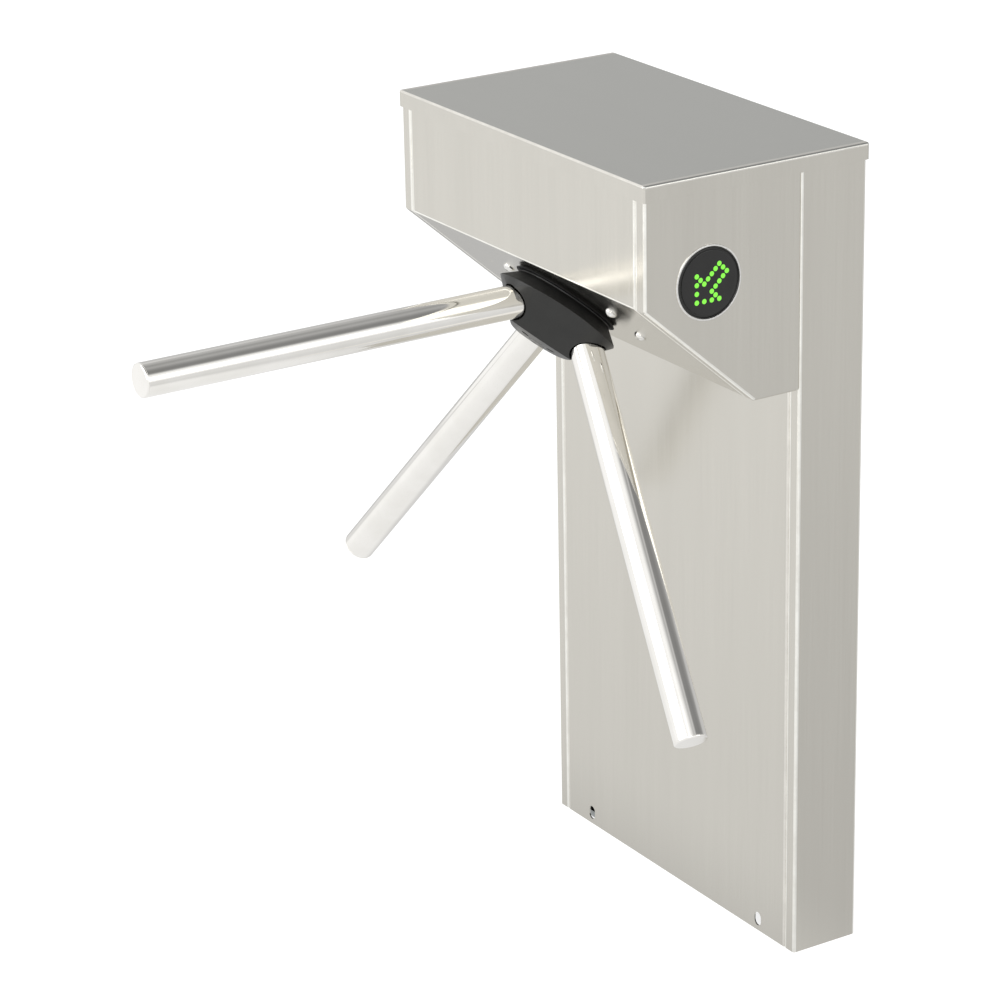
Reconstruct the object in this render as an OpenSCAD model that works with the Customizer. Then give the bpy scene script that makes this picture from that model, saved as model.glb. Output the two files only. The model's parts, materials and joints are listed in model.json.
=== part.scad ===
// Tripod turnstile: a slim pedestal whose head overhangs the passage and carries a hub with three arms.
// Millimetres. The origin is on the floor at the middle of the column's foot. The level arm points to -Y.

/* [Body] */
// Width of the body, along the direction people walk
body_w = 514; // [480:1:560]
// Depth of the column from front to back
column_d = 92; // [84:1:120]
// Height of the lid's top above the floor
body_h = 1000; // [900:1:1100]
// Thickness of the sheet steel
sheet_t = 2; // [1.5:0.1:3]
// Outer radius of the bends beside the side faces
bend_r = 3; // [2.2:0.1:5]
// Width of the strip that a side piece turns round onto the front
return_w = 18.5; // [14:0.5:30]
// Depth of the hidden flanges along the seams
flange_d = 12; // [8:0.5:14]
// Width of the seams between sheets
seam_gap = 0.6; // [0.3:0.1:1]
// Radius of the folded edges along the seams
seam_r = 2; // [0.5:0.1:2]

/* [Head] */
// How far the head stands out in front of the column
head_d = 213; // [190:1:240]
// Height of the head's front, from the lid's top to the fold above the underside
head_front_h = 147; // [130:1:165]
// Height of the whole head, from the lid's top to the flat bottom beside the column
head_h = 279; // [265:1:290]
// Number of bolts down each side that join the head to the column
head_bolt_count = 4; // [2:1:6]
// Radius of those bolts
head_bolt_r = 3; // [2.5:0.5:4]

/* [Lid] */
// Height of the lid's skirt
lid_skirt = 20; // [12:1:30]
// How far the lid stands out past the body
lid_over = 2.6; // [2.6:0.1:5]
// Thickness of the lid's sheet
lid_t = 2; // [1:0.1:2]
// Radius along the lid's edges
lid_r = 2.5; // [1:0.1:2.5]

/* [Foot] */
// Thickness of the foot frame
foot_t = 8; // [6:1:12]
// Length of each end plate of the foot frame
foot_l = 65; // [50:1:80]
// Width of the rail that joins the end plates at the back
foot_rail = 24; // [15:1:30]
// Distance between the anchor holes along the body
anchor_x = 444; // [430:1:450]
// Distance between the anchor holes from front to back
anchor_y = 40; // [30:1:44]
// Radius of the anchor holes
anchor_r = 7; // [5:0.5:8]
// Distance of the front panel's foot slots from the middle
slot_x = 183; // [150:1:200]
// Height of the foot slots' middle above the floor
slot_z = 15.5; // [14:0.5:25]
// Width of a foot slot
slot_w = 13; // [6:0.5:14]
// Height of a foot slot
slot_h = 17.5; // [14.5:0.5:20]

/* [Rotor] */
// Tilt of the rotor's axis below the horizontal, which is also the angle between the axis and each arm
arm_tilt = 48.7; // [47:0.1:50]
// Distance of the rotor's axis down the underside from the head's front bottom edge
rotor_drop = 86.5; // [80:0.5:95]
// How far the point where the arms' axes meet lies inside the underside
apex_depth = 8.6; // [7:0.1:10]
// Length of the arms from that point
arm_l = 567; // [450:1:600]
// Radius of the arms
arm_r = 20; // [18:0.5:21]
// Wall of the arm tubes
arm_wall = 2; // [1.5:0.1:3]
// Distance of the arms' inner ends from the meeting point
arm_start = 52; // [50:1:56]
// Thickness of the plastic end caps' heads
end_cap_t = 2.5; // [2:0.5:5]
// Depth of the end caps' spigots
end_cap_spigot = 20; // [10:1:40]

/* [Hub] */
// Radius of the fixed seal ring
seal_r = 68; // [66:0.5:72]
// Thickness of the seal ring
seal_t = 4; // [3:0.5:5]
// Radius of the hub's neck
neck_r = 61.5; // [58:0.5:64]
// Radius of the hub's rim
rim_r = 79.5; // [78:0.1:82]
// Distance of the rim from the underside
rim_s = 21.4; // [20:0.1:24]
// Distance from the underside of the edge where the hub's ends square to the arms begin
lobe_s = 31; // [28:0.5:34]
// Radius of the hub's lobes at its front face
front_r = 48; // [46:0.1:50]
// Distance of the front face's edge from the underside
front_s = 63; // [61:0.5:66]
// Height of the front face's crown over its edge
crown_h = 3; // [1:0.5:4]
// Distance of a flank from the axis at the rim
flank_rim = 78.4; // [76:0.1:79]
// Distance of a flank from the axis at the front face
flank_front = 35; // [32:0.5:38]
// Radius of the flanks' curve
flank_r = 125; // [105:5:160]
// Clearance round an arm where it leaves the hub
mouth_gap = 1.8; // [0.5:0.1:2]

/* [Shaft and bearings] */
// Radius of the rotor shaft
shaft_r = 15; // [12:0.5:16]
// Radius of the shaft's shoulder between the bearings
shoulder_r = 18; // [17.5:0.5:20]
// Outer radius of the bearings
bearing_r = 31; // [28:0.5:34]
// Width of the bearings
bearing_w = 16; // [12:1:20]
// Distance between the bearings
bearing_span = 50; // [30:1:60]
// Wall of the bearing housing
housing_wall = 7; // [5:0.5:9]
// Radius of the housing's flange
housing_flange_r = 51; // [48:0.5:51.5]
// Thickness of the housing's flange
housing_flange_t = 10; // [6:1:14]
// Thickness of the chassis plate
plate_t = 10; // [8:0.5:12]
// Radius of the hub bolt
hub_bolt_r = 6; // [5:0.5:7]
// Radius of the arms' set screws
set_screw_r = 4; // [3:0.5:4.5]

/* [Damper and lock] */
// Module of the damper gears
gear_m = 2.5; // [2.4:0.1:2.6]
// Teeth of the gear on the shaft
gear_z = 48; // [45:3:51]
// Teeth of the damper's pinion
pinion_z = 16; // [16:1:18]
// Width of the gears
gear_w = 12; // [8:1:14]
// Radius of the damper's body
damper_r = 22; // [18:0.5:24]
// Root radius of the lock disc
lock_root_r = 42; // [38:0.5:43]
// Radius of the lock disc's lugs
lock_lug_r = 54; // [52:0.5:54]
// Half of a lug's width as an angle
lug_half = 5.5; // [4:0.5:6]
// Thickness of the lock disc and the pawls
lock_t = 8; // [6:0.5:10]
// Turn of a pawl from released to engaged
pawl_turn = 10.5; // [10:0.1:11]
// Radius of the pawl pins
pawl_pin_r = 5; // [4:0.5:6]
// Distance from a pawl's pin to its link pin
tail_l = 30; // [27:1:34]
// Radius of the plungers
plunger_r = 4; // [3:0.5:5]

/* [Indicators] */
// Distance of the indicators in front of the column's front face
lamp_y = 127; // [122:1:132]
// Distance of the indicators below the lid's top
lamp_drop = 126; // [120:1:132]
// Radius of the dark indicator face
lamp_r = 42; // [38:0.5:44]
// Width of the bright ring round it
lamp_ring = 2.3; // [1.5:0.1:4]
// Pitch of the light points' grid
led_pitch = 5.1; // [4.6:0.1:5.2]
// Radius of a light point
led_r = 3; // [2:0.1:3.2]

/* [Electronics] */
// Height of the control board's bottom edge
board_z = 430; // [350:5:460]
// Height of the power supply's bottom edge
supply_z = 200; // [160:5:300]

/* [Hidden] */
$fn = 64;

steel = "#c3c1b9";
bright = "#dcdcd8";
zinc = "#a9abaa";
black = "#3b3c39";
brass = "#b99a4e";
green = "#92ff50";

// Clearances
seat = 0.3;
fit = 0.03;
eps = 0.01;

// Body
half_w = body_w / 2;
half_d = column_d / 2;
return_x = half_w - return_w;
panel_x = return_x - seam_gap;
head_front_z = body_h - head_front_h;
head_bottom_z = body_h - head_h;
wall_top = body_h - lid_t - seat;
lid_bottom = body_h - lid_skirt;
head_y = -half_d - head_d;
head_rear = -half_d - seam_gap;
panel_top = head_bottom_z + flange_d;
lid_x = half_w + lid_over;
lid_y = [head_y - lid_over, half_d + lid_over];
lid_corner = lid_r + 1;

// Rotor frame: +Z out of the underside along the axis, +Y up the underside, 0 where the arms' axes meet
apex_y = head_y + rotor_drop * sin(arm_tilt) + apex_depth * cos(arm_tilt);
apex_z = head_front_z - rotor_drop * cos(arm_tilt) + apex_depth * sin(arm_tilt);
skin_out = apex_depth;
skin_in = skin_out - sheet_t;
plate_in = skin_in - plate_t;
hub_rear = skin_out + seal_t + 0.5;
hub_rim = skin_out + rim_s;
hub_lobe = skin_out + lobe_s;
hub_front = skin_out + front_s;
hub_top = hub_front + crown_h;
lobe_r = front_r + (front_s - lobe_s) / tan(arm_tilt);
crown_r = (front_r * front_r + crown_h * crown_h) / (2 * crown_h);

// Along the shaft, inwards
front_bearing_z = plate_in - bearing_w;
rear_bearing_z = front_bearing_z - bearing_span - bearing_w;
housing_r = bearing_r + housing_wall;
gear_top = rear_bearing_z - 6;
gear_bottom = gear_top - gear_w;
lock_top = gear_bottom - 2;
lock_bottom = lock_top - lock_t;
nut_t = 10;
shaft_end = lock_bottom - nut_t - 2;
shaft_nose = hub_front - 22;
bolt_seat = shaft_nose + 6;
bolt_head_r = hub_bolt_r * 1.5;
hole_wall = bolt_head_r + 1.5;
key_l = 22;
set_screw_l = 64;
mouth_l = 22;

// Damper
damper_p = -gear_m * (gear_z + pinion_z) / 2;
damper_wall = 4;
damper_floor = plate_in - 8;
damper_top = gear_top + 2;

// Chassis plate, as places up the underside
plate_front = 62;
plate_rear = damper_p - damper_r - damper_wall - 2;
plate_x = panel_x - sheet_t - 2;
bracket_p = [plate_rear + 10, -14];
bracket_l = 45;
bracket_h = 30;
bracket_t = 4;

// Lock: a pawl's nose stands behind a lug, and its pin lies beyond the lugs' circle
lug_angle = 330;
nose_play = 1;
nose_start = lug_angle + lug_half + nose_play;
nose_turn = 13;
nose_in = lock_lug_r - 7;
nose_out = lock_lug_r + 9;
pawl_pin = [lock_lug_r + 21.2, 27.2];
pawl_w = 10;
boss_r = pawl_pin_r + 5;
link_pin_r = 2.5;
link_x = pawl_pin.x + tail_l * cos(pawl_turn / 2);
link_p = pawl_pin.y + tail_l * sin(pawl_turn / 2);
plunger_z = lock_bottom - plunger_r - 1;
solenoid_w = 28;
solenoid_l = 48;
solenoid_h = 26;
solenoid_p = link_p - 52;
solenoid_wall_x = link_x + solenoid_w / 2;
solenoid_foot = 22;
solenoid_t = 3;

// Fixing screws on the underside, two a side, and the small hole outside them
screw_x = 108.5;
screw_p = [14.5, -40];
screw_r = 4;
screw_head_r = 7.6;
screw_head_h = 5;
screw_dome_r = (pow(screw_head_r, 2) + pow(screw_head_h - 1, 2)) / (2 * (screw_head_h - 1));
pip_at = [161, 4];

// Indicator
lamp_at = [-half_d - lamp_y, body_h - lamp_drop];
lamp_hole_r = lamp_r - 3;
lamp_depth = 24;
lens_t = 2;
// Light points of the arrow, counted in grid steps from the corner at its tip
arrow = concat([for (i = [0 : 2 : 6]) [i, 0]], [for (i = [2 : 2 : 6]) [0, i]],
    [[1, 5], [5, 1], [7, 7], [8, 6]], [for (i = [2 : 6]) [i, i + 2]], [for (i = [4 : 7]) [i, i - 2]]);
arrow_centre = [3.4, 4.0];

// Tray of the control board
tray_w = 200;
tray_h = 230;
tray_d = 12;
tray_y = half_d - sheet_t - tray_d;
tray_t = 1.5;
board_t = 1.6;
board_unit = tray_w / 20;

// Case of the power supply
supply_w = 160;
supply_h = 100;
supply_d = 40;
vent_w = 4;
vent_pitch = supply_w / 18;

function arc(c, r, from, to, n = 6) = [for (i = [0 : n]) let (t = from + (to - from) * i / n)
    c + r * [cos(t), sin(t)]];
function polar(r, a) = r * [cos(a), sin(a)];
function flip(points) = [for (i = [len(points) - 1 : -1 : 0]) [-points[i].x, points[i].y]];

// Outline of the head seen along X, moved inwards by d, with its rear edge moved by rear_d
function underside_y(d) = head_y
    + (d - (head_bottom_z + d - head_front_z) * sin(arm_tilt)) / cos(arm_tilt);
function head_outline(d, rear_d = 0, top = wall_top) = [
    [head_rear - rear_d, top], [head_y + d, top],
    [head_y + d, head_front_z + d * (1 - cos(arm_tilt)) / sin(arm_tilt)],
    [underside_y(d), head_bottom_z + d], [head_rear - rear_d, head_bottom_z + d]];

// Solid through a list of rings that have as many points each
module loft(rings) {
    n = len(rings[0]);
    m = len(rings);
    polyhedron(
        points = [for (ring = rings) each ring],
        faces = concat(
            [[for (i = [0 : n - 1]) i]],
            [for (k = [0 : m - 2], i = [0 : n - 1])
                [k * n + i, (k + 1) * n + i, (k + 1) * n + (i + 1) % n, k * n + (i + 1) % n]],
            [[for (i = [n - 1 : -1 : 0]) (m - 1) * n + i]]));
}

// Block of the head from x0 to x1, with its outer edges rounded by r0 and r1 at the two ends
module head_block(x0, x1, r0, r1, n = 6) {
    function ring(x, d) = [for (p = head_outline(d)) [x, p.x, p.y]];
    loft(concat(
        [for (i = [0 : n]) let (t = 90 * i / n) ring(x0 + r0 * (1 - cos(t)), r0 * (1 - sin(t)))],
        [for (i = [n : -1 : 0]) let (t = 90 * i / n) ring(x1 - r1 * (1 - cos(t)), r1 * (1 - sin(t)))]));
}
module head_prism(x0, x1, d, rear_d)
    translate([x0, 0, 0]) rotate([90, 0, 90]) linear_extrude(x1 - x0)
        polygon(head_outline(d, rear_d, body_h + 10));

module at_rotor() translate([0, apex_y, apex_z]) rotate([90 + arm_tilt, 0, 0]) children();
module in_arm(i) rotate([0, 0, 120 * i]) rotate([-arm_tilt, 0, 0]) children();
module at_arm(i) at_rotor() in_arm(i) children();
module both() { children(); mirror([1, 0, 0]) children(); }
module ring(r_out, r_in, h) difference() {
    cylinder(r = r_out, h = h);
    translate([0, 0, -1]) cylinder(r = r_in, h = h + 2);
}
module slot(w, l, h) {
    translate([-(l - w) / 2, 0, 0]) cylinder(r = w / 2, h = h);
    translate([(l - w) / 2, 0, 0]) cylinder(r = w / 2, h = h);
    translate([-(l - w) / 2, -w / 2, 0]) cube([l - w, w, h]);
}
module x_cylinder(r, h) rotate([0, 90, 0]) cylinder(r = r, h = h);
module y_cylinder(r, h) rotate([-90, 0, 0]) cylinder(r = r, h = h);

// Foot frame: two end plates and a rear rail, open in the middle and at the front for the cables
module base_frame() color(zinc) difference() {
    front = -half_d + flange_d + seat;
    rail = half_d - sheet_t - foot_rail;
    outer = half_w - sheet_t;
    inner = outer - foot_l;
    corner = arc([half_w - bend_r, half_d - bend_r], bend_r - sheet_t, 0, 90);
    linear_extrude(foot_t) polygon(concat([[inner, rail], [inner, front], [outer, front]], corner,
        flip(corner), [[-outer, front], [-inner, front], [-inner, rail]]));
    for (x = [-anchor_x / 2, anchor_x / 2], y = [-anchor_y / 2, anchor_y / 2])
        translate([x, y, -1]) cylinder(r = anchor_r, h = foot_t + 2);
}

// Column: sides and back folded from one sheet, with returns and flanges on the front
module column_shell() color(steel) {
    outer = concat(
        [[return_x, -half_d + flange_d]],
        arc([return_x + seam_r, -half_d + seam_r], seam_r, 180, 270),
        arc([half_w - bend_r, -half_d + bend_r], bend_r, -90, 0),
        arc([half_w - bend_r, half_d - bend_r], bend_r, 0, 90));
    inner = concat(
        arc([half_w - bend_r, half_d - bend_r], bend_r - sheet_t, 90, 0),
        arc([half_w - bend_r, -half_d + bend_r], bend_r - sheet_t, 0, -90),
        [[return_x + sheet_t, -half_d + sheet_t], [return_x + sheet_t, -half_d + flange_d]]);
    difference() {
        linear_extrude(wall_top) polygon(concat(outer, flip(outer), flip(inner), inner));
        head_bolt_places() translate([0, -1, 0]) y_cylinder(head_bolt_r + seat, sheet_t + 2);
    }
}

module head_bolt_places() both() {
    top = lid_bottom - 20;
    step = (top - head_bottom_z - 30) / (head_bolt_count - 1);
    for (i = [0 : head_bolt_count - 1])
        translate([half_w - return_w / 2 + 0.5, -half_d, head_bottom_z + 30 + i * step]) children();
}

// Front panel of the column: a shallow tray with a foot slot near each lower corner
module column_front_panel() color(steel) {
    outer = concat(
        [[panel_x, -half_d + flange_d]],
        arc([panel_x - seam_r, -half_d + seam_r], seam_r, 0, -90));
    inner = [[panel_x - sheet_t, -half_d + sheet_t], [panel_x - sheet_t, -half_d + flange_d]];
    difference() {
        linear_extrude(panel_top) polygon(concat(outer, flip(outer), flip(inner), inner));
        for (x = [-slot_x, slot_x]) translate([x, -half_d - 1, slot_z])
            rotate([-90, 90, 0]) slot(slot_w, slot_h, sheet_t + 2);
    }
}

// Side of the head: a tray with returns along the front, the underside and the rear
module head_cheek() color(steel) difference() {
    head_block(return_x, half_w, seam_r, bend_r);
    head_prism(return_x + sheet_t, half_w - sheet_t, sheet_t, sheet_t);
    head_prism(return_x - 1, return_x + sheet_t + eps, flange_d, sheet_t);
    translate([half_w - sheet_t - 1, lamp_at.x, lamp_at.y]) x_cylinder(lamp_hole_r + seat, sheet_t + 2);
    head_bolt_places() translate([0, -sheet_t - seam_gap - 1, 0])
        y_cylinder(head_bolt_r + seat, sheet_t + 2);
    for (p = [[head_y, head_front_z], [underside_y(0), head_bottom_z], [head_rear, head_bottom_z]])
        translate([half_w - bend_r, p.x, p.y]) x_cylinder(1.2, bend_r + 1);
}
module head_cheek_right() head_cheek();
module head_cheek_left() mirror([1, 0, 0]) head_cheek();

// Front, underside and flat bottom of the head, bent from one sheet
module head_front_panel() color(steel) difference() {
    head_block(-panel_x, panel_x, seam_r, seam_r);
    head_prism(-panel_x + sheet_t, panel_x - sheet_t, sheet_t, -20);
    head_prism(-panel_x - 1, panel_x + 1, flange_d, -20);
    at_rotor() translate([0, 0, skin_in - 1]) {
        cylinder(r = shaft_r + 7, h = sheet_t + 2);
        screw_places() cylinder(r = screw_r + seat, h = sheet_t + 2);
        both() translate([pip_at.x, pip_at.y, 0]) cylinder(r = 1.5, h = sheet_t + 2);
    }
}

// Bolts that join the head's rear flanges to the column's returns, with their nuts
module head_bolts() color(zinc) head_bolt_places() {
    translate([0, -seam_gap - sheet_t - 4, 0]) y_cylinder(head_bolt_r * 1.7, 4);
    translate([0, -seam_gap - sheet_t - eps, 0]) y_cylinder(head_bolt_r, sheet_t * 2 + seam_gap + 6);
    translate([0, sheet_t, 0]) rotate([-90, 0, 0]) cylinder(r = head_bolt_r * 1.9, h = 4, $fn = 6);
}

// Lid: a folded tray whose skirt hangs outside the walls
// Outline of the lid at height z, moved inwards by d, with rounded corners
function lid_ring(d, z) = [
    for (c = [[lid_x, lid_y[1], 0], [-lid_x, lid_y[1], 90],
        [-lid_x, lid_y[0], 180], [lid_x, lid_y[0], 270]])
    for (p = arc([c.x - sign(c.x) * lid_corner, c.y + (c.z < 180 ? -lid_corner : lid_corner)],
        lid_corner - d, c.z, c.z + 90))
    [p.x, p.y, z]];
module lid() color("#a8a8a4") difference() {
    loft(concat([lid_ring(0, lid_bottom)],
        [for (i = [0 : 6]) lid_ring(lid_r * (1 - cos(15 * i)), body_h - lid_r * (1 - sin(15 * i)))]));
    translate([-lid_x + lid_t, lid_y[0] + lid_t, lid_bottom - 1])
        cube([2 * (lid_x - lid_t), lid_y[1] - lid_y[0] - 2 * lid_t, lid_skirt - lid_t + 1]);
}

// Fixed black ring between the underside and the turning hub, with a lip that flares towards the hub
module seal_ring() color(black) at_rotor() translate([0, 0, skin_out + fit]) difference() {
    union() {
        cylinder(r1 = seal_r - seal_t, r2 = seal_r, h = seal_t - 0.8);
        translate([0, 0, seal_t - 0.8]) cylinder(r1 = seal_r, r2 = seal_r - 0.8, h = 0.8);
    }
    translate([0, 0, -1]) cylinder(r = shaft_r + 2, h = seal_t + 2);
}

// Button-head screws with a hexagon socket that hold the mechanism to the underside
module screw_places() for (p = screw_p) both() translate([screw_x, p, 0]) children();
module underside_screw() difference() {
    union() {
        translate([0, 0, skin_out + fit]) rotate_extrude() polygon(concat([[0, 0], [screw_head_r, 0]],
            arc([0, screw_head_h - screw_dome_r], screw_dome_r, acos(screw_head_r / screw_dome_r), 90)));
        translate([0, 0, plate_in]) cylinder(r = screw_r, h = skin_out - plate_in + 1);
    }
    translate([0, 0, skin_out + screw_head_h - 2.6]) cylinder(r = screw_r * 0.7, h = 4, $fn = 6);
}
module underside_screws() color(bright) at_rotor() screw_places() underside_screw();

// Thick plate inside the underside that carries the mechanism
module chassis_plate() color(zinc) at_rotor() difference() {
    translate([-plate_x, plate_rear, plate_in]) cube([2 * plate_x, plate_front - plate_rear, plate_t]);
    translate([0, 0, plate_in - 1]) {
        cylinder(r = bearing_r - 9, h = plate_t + 2);
        screw_places() cylinder(r = screw_r + fit, h = plate_t + 2);
        housing_holes() cylinder(r = 3 + fit, h = plate_t + 2);
    }
}

// Angle bracket from the plate's end over the seam flanges to the head's side
module chassis_bracket() color(zinc) at_rotor() {
    w = bracket_p[1] - bracket_p[0];
    wall = half_w - sheet_t - fit;
    translate([plate_x - bracket_l, bracket_p[0], plate_in - bracket_t - fit])
        cube([wall - plate_x + bracket_l, w, bracket_t]);
    translate([wall - bracket_t, bracket_p[0], plate_in - bracket_h])
        cube([bracket_t, w, bracket_h - bracket_t + eps]);
}
module chassis_bracket_right() chassis_bracket();
module chassis_bracket_left() mirror([1, 0, 0]) chassis_bracket();

module housing_holes() for (a = [45 : 90 : 315]) rotate([0, 0, a])
    translate([housing_flange_r - 6.5, 0, 0]) children();

// Flanged tube with a bearing seat at each end
module bearing_housing() color("#8c8f91") at_rotor() difference() {
    flange_in = plate_in - housing_flange_t;
    union() {
        translate([0, 0, flange_in]) cylinder(r = housing_flange_r, h = housing_flange_t);
        translate([0, 0, rear_bearing_z]) cylinder(r = housing_r, h = plate_in - rear_bearing_z - 1);
    }
    translate([0, 0, rear_bearing_z - 1]) cylinder(r = bearing_r - 4, h = plate_in - rear_bearing_z + 2);
    translate([0, 0, front_bearing_z]) cylinder(r = bearing_r + fit, h = bearing_w + 1);
    translate([0, 0, rear_bearing_z - 1]) cylinder(r = bearing_r + fit, h = bearing_w + 1);
    translate([0, 0, flange_in - 1]) housing_holes() cylinder(r = 3.3, h = housing_flange_t + 2);
}
module housing_screws() color(zinc) at_rotor() housing_holes() {
    flange_in = plate_in - housing_flange_t;
    translate([0, 0, flange_in - 6]) cylinder(r = 5, h = 6);
    translate([0, 0, flange_in - eps]) cylinder(r = 3, h = housing_flange_t + plate_t - 1);
}

// Sealed ball bearing: rings with a sunk shield on both faces
module bearing() color(bright) difference() {
    ring(bearing_r, shaft_r + fit, bearing_w);
    for (z = [-1, bearing_w - 1]) translate([0, 0, z]) ring(bearing_r - 3.5, shaft_r + 3.5, 2);
}
module front_bearing() at_rotor() translate([0, 0, front_bearing_z]) bearing();
module rear_bearing() at_rotor() translate([0, 0, rear_bearing_z]) bearing();

// Stepped shaft with a keyway at each end and a tapped nose
module rotor_shaft() color("#9fa2a3") at_rotor() difference() {
    union() {
        translate([0, 0, lock_bottom]) cylinder(r = shaft_r, h = shaft_nose - lock_bottom);
        translate([0, 0, rear_bearing_z + bearing_w]) cylinder(r = shoulder_r, h = bearing_span);
        translate([0, 0, shaft_end]) cylinder(r = shaft_r - 3, h = nut_t + 3);
    }
    translate([0, 0, shaft_nose - 25]) cylinder(r = hub_bolt_r + fit, h = 26);
    key_box(fit);
}
module key_box(gap) translate([shaft_r - 3 - gap, -4 - gap, hub_rear + 3])
    cube([6.5 + gap, 8 + 2 * gap, key_l]);
module shaft_key() color(zinc) at_rotor() key_box(0);

// Outer form of the hub: a crowned cone whose lobes end square to the arms, cut by three curved flanks
module hub_flank(a) rotate([0, 0, a]) translate([flank_rim, 0, hub_rim])
    rotate([0, -atan((flank_rim - flank_front) / (front_s - rim_s)), 0])
        translate([-flank_r, 0, -rim_r]) cylinder(r = flank_r, h = 2.5 * rim_r);
module hub_form() intersection() {
    rotate_extrude() polygon(concat([[0, hub_rear], [neck_r, hub_rear], [neck_r, hub_rear + 1.5],
        [rim_r - 1, hub_rim - 1], [rim_r, hub_rim + 0.6], [lobe_r, hub_lobe],
        [front_r + 0.5, hub_front - 0.6]],
        arc([0, hub_top - crown_r], crown_r, acos((front_r - 1) / crown_r), 90)));
    hub_flank(30);
    hub_flank(150);
    hub_flank(270);
}
module hub() color(black) at_rotor() difference() {
    hub_form();
    for (i = [0 : 2]) in_arm(i) {
        translate([0, 0, arm_start - 1]) cylinder(r = arm_r + fit, h = rim_r);
        translate([0, 0, arm_start + mouth_l]) cylinder(r = arm_r + mouth_gap, h = rim_r);
        translate([0, -arm_r + 2, set_screw_l]) rotate([90, 0, 0])
            cylinder(r = set_screw_r + fit, h = 2 * arm_r);
    }
    translate([0, 0, hub_rear - 1]) cylinder(r = shaft_r + fit, h = shaft_nose - hub_rear + 1);
    translate([0, 0, shaft_nose - 1]) cylinder(r = hub_bolt_r + seat, h = bolt_seat - shaft_nose + 2);
    translate([0, 0, bolt_seat]) cylinder(r = hole_wall, h = front_s);
    key_box(fit);
}

module hub_cap() color(black) at_rotor() translate([0, 0, hub_top - 4]) {
    cylinder(r = hole_wall - 0.1, h = 3);
    translate([0, 0, 3]) cylinder(r1 = hole_wall - 0.1, r2 = hole_wall - 1.1, h = 1);
}

// Socket-head bolt and washer that pull the hub onto the shaft
module hub_bolt() color(zinc) at_rotor() difference() {
    union() {
        translate([0, 0, bolt_seat]) cylinder(r = hole_wall - 0.4, h = 2);
        translate([0, 0, bolt_seat + 2 - eps]) cylinder(r = bolt_head_r, h = hub_front - bolt_seat - 7);
        translate([0, 0, shaft_nose - 24]) cylinder(r = hub_bolt_r, h = bolt_seat - shaft_nose + 25);
    }
    translate([0, 0, hub_front - 11]) cylinder(r = hub_bolt_r * 0.8, h = 10, $fn = 6);
}

module arm(i) color(bright) at_arm(i) translate([0, 0, arm_start]) difference() {
    cylinder(r = arm_r, h = arm_l - arm_start - end_cap_t);
    translate([0, 0, -1]) cylinder(r = arm_r - arm_wall, h = arm_l);
}
module arm_front() arm(0);
module arm_right() arm(2);
module arm_left() arm(1);

// Cap with a rounded edge and a spigot that plugs the tube
module end_cap(i) color(bright) at_arm(i) translate([0, 0, arm_l - end_cap_t]) rotate_extrude() {
    spigot_r = arm_r - arm_wall - fit;
    polygon(concat([[0, -end_cap_spigot], [spigot_r, -end_cap_spigot], [spigot_r, 0], [arm_r, 0]],
        arc([arm_r - 2, end_cap_t - 2], 2, 0, 90), [[0, end_cap_t]]));
}
module end_cap_front() end_cap(0);
module end_cap_right() end_cap(2);
module end_cap_left() end_cap(1);

// Set screws under the hub's front face, each square to its arm
module arm_set_screws() color(zinc) for (i = [0 : 2]) at_arm(i)
    translate([0, -arm_r - fit, set_screw_l]) rotate([90, 0, 0]) difference() {
        cylinder(r = set_screw_r, h = 12);
        translate([0, 0, 8]) cylinder(r = set_screw_r * 0.55, h = 5, $fn = 6);
    }

// Involute spur gear, its first tooth centred on +X
function involute(a) = tan(a) * 180 / PI - a;
function half_tooth(z, r) = let (base = gear_m * z / 2 * cos(20))
    90 / z - 0.12 * 180 / (PI * gear_m * z / 2) + involute(20) - involute(acos(min(1, base / r)));
module gear_2d(z) {
    pitch = gear_m * z / 2;
    radii = [for (k = [-1.2, -0.5, 0, 0.5, 0.95]) pitch + k * gear_m];
    polygon([for (i = [0 : z - 1]) each concat(
        [for (r = radii) polar(r, 360 * i / z - half_tooth(z, r))],
        [for (j = [4 : -1 : 0]) polar(radii[j], 360 * i / z + half_tooth(z, radii[j]))])]);
}
module damper_gear() color(brass) at_rotor() difference() {
    union() {
        translate([0, 0, gear_bottom]) rotate([0, 0, -90]) linear_extrude(gear_w) gear_2d(gear_z);
        translate([0, 0, gear_top - eps])
            cylinder(r = shaft_r + 3.2, h = rear_bearing_z - gear_top - seat);
    }
    translate([0, 0, gear_bottom - 1]) cylinder(r = shaft_r + fit, h = gear_w + 10);
    for (a = [0 : 60 : 300]) rotate([0, 0, a]) translate([gear_m * gear_z / 3.4, 0, gear_bottom - 1])
        cylinder(r = 10, h = gear_w + 2);
}

module damper_pinion() color("#8f9294") at_rotor() translate([0, damper_p, 0]) {
    translate([0, 0, gear_bottom]) rotate([0, 0, 90 + 180 / pinion_z])
        linear_extrude(gear_w) gear_2d(pinion_z);
    translate([0, 0, gear_top - eps]) cylinder(r = 5, h = 12);
}

// Sealed oil damper whose spindle carries the pinion
module damper_body() color("#5a5d60") at_rotor() translate([0, damper_p, 0]) difference() {
    translate([0, 0, damper_top]) cylinder(r = damper_r, h = damper_floor - damper_top);
    translate([0, 0, damper_top - 1]) cylinder(r = 5 + fit, h = 13);
}
module damper_bracket() color(zinc) at_rotor() translate([0, damper_p, 0]) difference() {
    sleeve = (damper_floor - damper_top) * 0.6;
    translate([0, 0, damper_floor - sleeve])
        cylinder(r = damper_r + damper_wall, h = sleeve + plate_in - damper_floor);
    translate([0, 0, damper_floor - sleeve - 1]) cylinder(r = damper_r + fit, h = sleeve + 1);
}

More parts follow.
